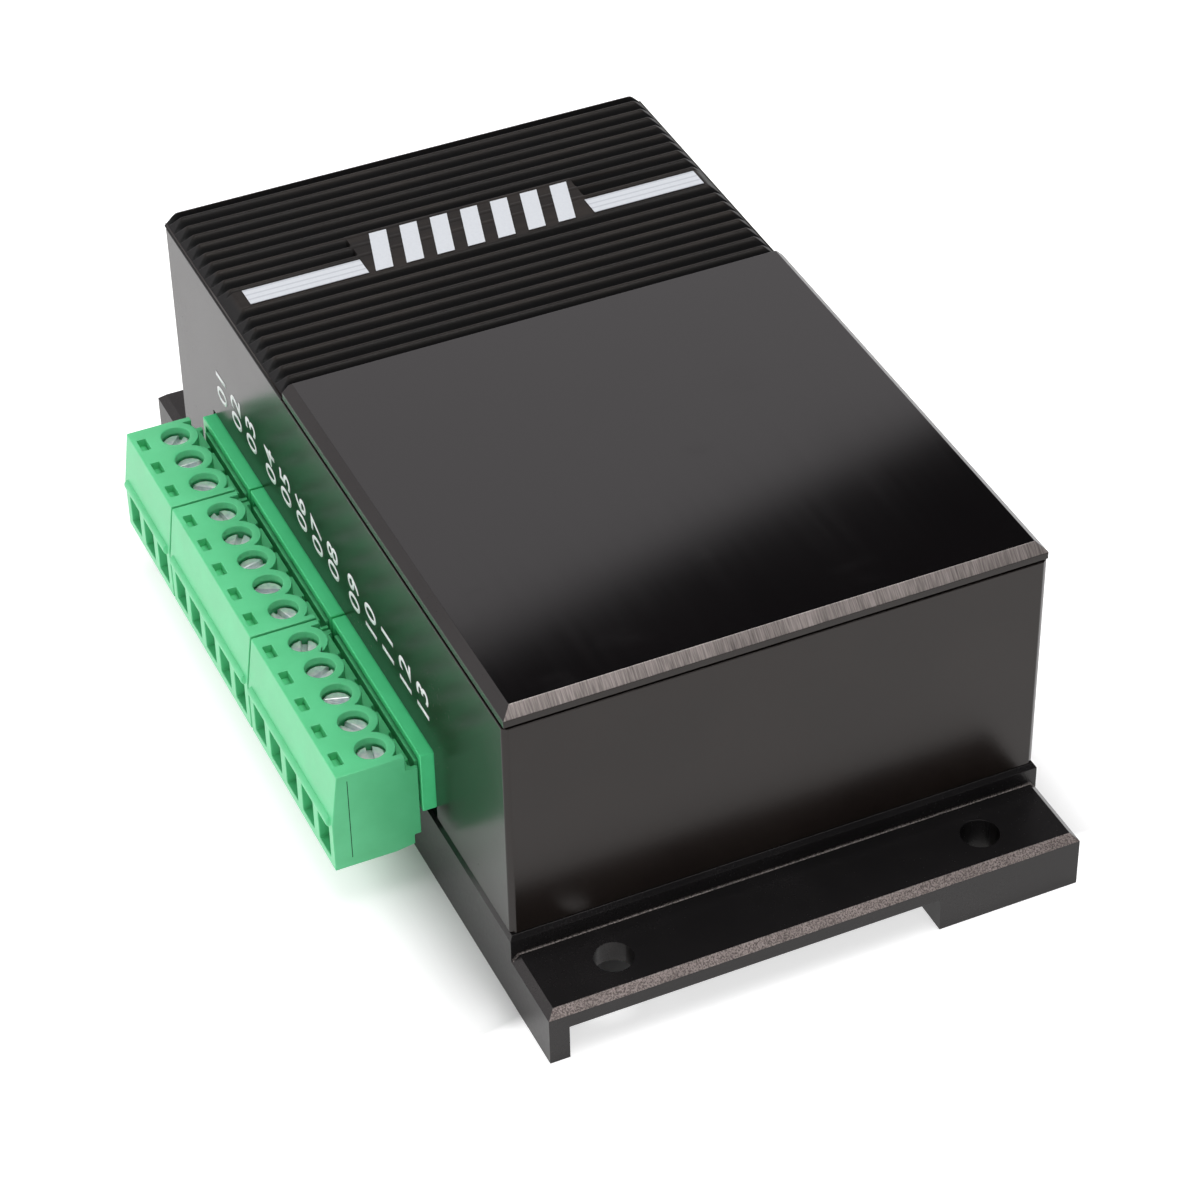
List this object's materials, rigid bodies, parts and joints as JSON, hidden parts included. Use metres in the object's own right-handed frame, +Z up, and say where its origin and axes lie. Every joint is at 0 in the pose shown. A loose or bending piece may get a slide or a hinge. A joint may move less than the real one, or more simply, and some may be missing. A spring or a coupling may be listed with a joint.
{
  "type": "stepper motor driver module",
  "caption": "Flange-mounted stepper motor driver in a black and grey metal case with a ribbed heat sink and green pull-off screw terminals along one long side.",
  "frame": {"origin": "on the mounting surface, under the middle of the whole part with its plugs in", "axes": "+X along the housing away from the ribbed heat sink end, -Y out of the connector side, +Z up from the mounting surface"},
  "size_m": [0.1248, 0.0776, 0.0417],
  "materials": {
    "black_anodised": "black anodised, fine satin",
    "slate_anodised": "dark grey anodised, satin",
    "satin_plate": "dark grey anodised, smooth satin with machined edges",
    "green_nylon": "moulded green nylon",
    "zinc_steel": "bright zinc plated",
    "black_steel": "black oxide",
    "tinned_brass": "tin plated",
    "board_green": "glass-fibre laminate with solder mask",
    "chip_black": "moulded epoxy",
    "pad_grey": "silicone thermal pad",
    "can_sleeve": "shrink-sleeved can",
    "ferrite": "sintered ferrite"
  },
  "bodies": {
    "case": {"base_plate": "black_anodised", "housing_frame": "slate_anodised", "top_plate": "satin_plate", "heat_sink": "black_anodised", "circuit_board": "board_green", "driver_chip": "chip_black", "thermal_pad": "pad_grey", "controller_chip": "chip_black", "choke": "ferrite", "capacitor_1": "can_sleeve", "capacitor_2": "can_sleeve", "case_screw_1": "black_steel", "case_screw_2": "black_steel", "case_screw_3": "black_steel", "case_screw_4": "black_steel", "header_1": "green_nylon", "header_2": "green_nylon", "header_3": "green_nylon", "pin_01": "tinned_brass", "pin_02": "tinned_brass", "pin_03": "tinned_brass", "pin_04": "tinned_brass", "pin_05": "tinned_brass", "pin_06": "tinned_brass", "pin_07": "tinned_brass", "pin_08": "tinned_brass", "pin_09": "tinned_brass", "pin_10": "tinned_brass", "pin_11": "tinned_brass", "pin_12": "tinned_brass", "pin_13": "tinned_brass"},
    "plug_1": {"plug_1": "green_nylon"},
    "plug_2": {"plug_2": "green_nylon"},
    "plug_3": {"plug_3": "green_nylon"},
    "screw_01": {"screw_01": "zinc_steel"},
    "clamp_01": {"clamp_01": "zinc_steel"},
    "screw_02": {"screw_02": "zinc_steel"},
    "clamp_02": {"clamp_02": "zinc_steel"},
    "screw_03": {"screw_03": "zinc_steel"},
    "clamp_03": {"clamp_03": "zinc_steel"},
    "screw_04": {"screw_04": "zinc_steel"},
    "clamp_04": {"clamp_04": "zinc_steel"},
    "screw_05": {"screw_05": "zinc_steel"},
    "clamp_05": {"clamp_05": "zinc_steel"},
    "screw_06": {"screw_06": "zinc_steel"},
    "clamp_06": {"clamp_06": "zinc_steel"},
    "screw_07": {"screw_07": "zinc_steel"},
    "clamp_07": {"clamp_07": "zinc_steel"},
    "screw_08": {"screw_08": "zinc_steel"},
    "clamp_08": {"clamp_08": "zinc_steel"},
    "screw_09": {"screw_09": "zinc_steel"},
    "clamp_09": {"clamp_09": "zinc_steel"},
    "screw_10": {"screw_10": "zinc_steel"},
    "clamp_10": {"clamp_10": "zinc_steel"},
    "screw_11": {"screw_11": "zinc_steel"},
    "clamp_11": {"clamp_11": "zinc_steel"},
    "screw_12": {"screw_12": "zinc_steel"},
    "clamp_12": {"clamp_12": "zinc_steel"},
    "screw_13": {"screw_13": "zinc_steel"},
    "clamp_13": {"clamp_13": "zinc_steel"}
  },
  "joints": [
    {"name": "plug_1_pull", "type": "slide", "parent": "case", "child": "plug_1", "axis": [0, -1, 0], "range_m": [0, 0.011]},
    {"name": "plug_2_pull", "type": "slide", "parent": "case", "child": "plug_2", "axis": [0, -1, 0], "range_m": [0, 0.011]},
    {"name": "plug_3_pull", "type": "slide", "parent": "case", "child": "plug_3", "axis": [0, -1, 0], "range_m": [0, 0.011]},
    {"name": "screw_01_turn", "type": "hinge", "parent": "plug_1", "child": "screw_01", "pos_m": [-0.0357, -0.03222, 0.0191], "axis": [0, 0, -1], "range_deg": [0, 1728]},
    {"name": "clamp_01_lift", "type": "slide", "parent": "plug_1", "child": "clamp_01", "axis": [0, 0, 1], "range_m": [0, 0.0024]},
    {"name": "screw_02_turn", "type": "hinge", "parent": "plug_1", "child": "screw_02", "pos_m": [-0.03062, -0.03222, 0.0191], "axis": [0, 0, -1], "range_deg": [0, 1728]},
    {"name": "clamp_02_lift", "type": "slide", "parent": "plug_1", "child": "clamp_02", "axis": [0, 0, 1], "range_m": [0, 0.0024]},
    {"name": "screw_03_turn", "type": "hinge", "parent": "plug_1", "child": "screw_03", "pos_m": [-0.02554, -0.03222, 0.0191], "axis": [0, 0, -1], "range_deg": [0, 1728]},
    {"name": "clamp_03_lift", "type": "slide", "parent": "plug_1", "child": "clamp_03", "axis": [0, 0, 1], "range_m": [0, 0.0024]},
    {"name": "screw_04_turn", "type": "hinge", "parent": "plug_2", "child": "screw_04", "pos_m": [-0.01909, -0.03222, 0.0191], "axis": [0, 0, -1], "range_deg": [0, 1728]},
    {"name": "clamp_04_lift", "type": "slide", "parent": "plug_2", "child": "clamp_04", "axis": [0, 0, 1], "range_m": [0, 0.0024]},
    {"name": "screw_05_turn", "type": "hinge", "parent": "plug_2", "child": "screw_05", "pos_m": [-0.01401, -0.03222, 0.0191], "axis": [0, 0, -1], "range_deg": [0, 1728]},
    {"name": "clamp_05_lift", "type": "slide", "parent": "plug_2", "child": "clamp_05", "axis": [0, 0, 1], "range_m": [0, 0.0024]},
    {"name": "screw_06_turn", "type": "hinge", "parent": "plug_2", "child": "screw_06", "pos_m": [-0.00893, -0.03222, 0.0191], "axis": [0, 0, -1], "range_deg": [0, 1728]},
    {"name": "clamp_06_lift", "type": "slide", "parent": "plug_2", "child": "clamp_06", "axis": [0, 0, 1], "range_m": [0, 0.0024]},
    {"name": "screw_07_turn", "type": "hinge", "parent": "plug_2", "child": "screw_07", "pos_m": [-0.00385, -0.03222, 0.0191], "axis": [0, 0, -1], "range_deg": [0, 1728]},
    {"name": "clamp_07_lift", "type": "slide", "parent": "plug_2", "child": "clamp_07", "axis": [0, 0, 1], "range_m": [0, 0.0024]},
    {"name": "screw_08_turn", "type": "hinge", "parent": "plug_2", "child": "screw_08", "pos_m": [0.00123, -0.03222, 0.0191], "axis": [0, 0, -1], "range_deg": [0, 1728]},
    {"name": "clamp_08_lift", "type": "slide", "parent": "plug_2", "child": "clamp_08", "axis": [0, 0, 1], "range_m": [0, 0.0024]},
    {"name": "screw_09_turn", "type": "hinge", "parent": "plug_3", "child": "screw_09", "pos_m": [0.00768, -0.03222, 0.0191], "axis": [0, 0, -1], "range_deg": [0, 1728]},
    {"name": "clamp_09_lift", "type": "slide", "parent": "plug_3", "child": "clamp_09", "axis": [0, 0, 1], "range_m": [0, 0.0024]},
    {"name": "screw_10_turn", "type": "hinge", "parent": "plug_3", "child": "screw_10", "pos_m": [0.01276, -0.03222, 0.0191], "axis": [0, 0, -1], "range_deg": [0, 1728]},
    {"name": "clamp_10_lift", "type": "slide", "parent": "plug_3", "child": "clamp_10", "axis": [0, 0, 1], "range_m": [0, 0.0024]},
    {"name": "screw_11_turn", "type": "hinge", "parent": "plug_3", "child": "screw_11", "pos_m": [0.01784, -0.03222, 0.0191], "axis": [0, 0, -1], "range_deg": [0, 1728]},
    {"name": "clamp_11_lift", "type": "slide", "parent": "plug_3", "child": "clamp_11", "axis": [0, 0, 1], "range_m": [0, 0.0024]},
    {"name": "screw_12_turn", "type": "hinge", "parent": "plug_3", "child": "screw_12", "pos_m": [0.02292, -0.03222, 0.0191], "axis": [0, 0, -1], "range_deg": [0, 1728]},
    {"name": "clamp_12_lift", "type": "slide", "parent": "plug_3", "child": "clamp_12", "axis": [0, 0, 1], "range_m": [0, 0.0024]},
    {"name": "screw_13_turn", "type": "hinge", "parent": "plug_3", "child": "screw_13", "pos_m": [0.028, -0.03222, 0.0191], "axis": [0, 0, -1], "range_deg": [0, 1728]},
    {"name": "clamp_13_lift", "type": "slide", "parent": "plug_3", "child": "clamp_13", "axis": [0, 0, 1], "range_m": [0, 0.0024]}
  ],
  "couplings": [
    {"joint": "screw_01_turn", "follows": "clamp_01_lift", "rad_per_m": 12566},
    {"joint": "screw_02_turn", "follows": "clamp_02_lift", "rad_per_m": 12566},
    {"joint": "screw_03_turn", "follows": "clamp_03_lift", "rad_per_m": 12566},
    {"joint": "screw_04_turn", "follows": "clamp_04_lift", "rad_per_m": 12566},
    {"joint": "screw_05_turn", "follows": "clamp_05_lift", "rad_per_m": 12566},
    {"joint": "screw_06_turn", "follows": "clamp_06_lift", "rad_per_m": 12566},
    {"joint": "screw_07_turn", "follows": "clamp_07_lift", "rad_per_m": 12566},
    {"joint": "screw_08_turn", "follows": "clamp_08_lift", "rad_per_m": 12566},
    {"joint": "screw_09_turn", "follows": "clamp_09_lift", "rad_per_m": 12566},
    {"joint": "screw_10_turn", "follows": "clamp_10_lift", "rad_per_m": 12566},
    {"joint": "screw_11_turn", "follows": "clamp_11_lift", "rad_per_m": 12566},
    {"joint": "screw_12_turn", "follows": "clamp_12_lift", "rad_per_m": 12566},
    {"joint": "screw_13_turn", "follows": "clamp_13_lift", "rad_per_m": 12566}
  ]
}
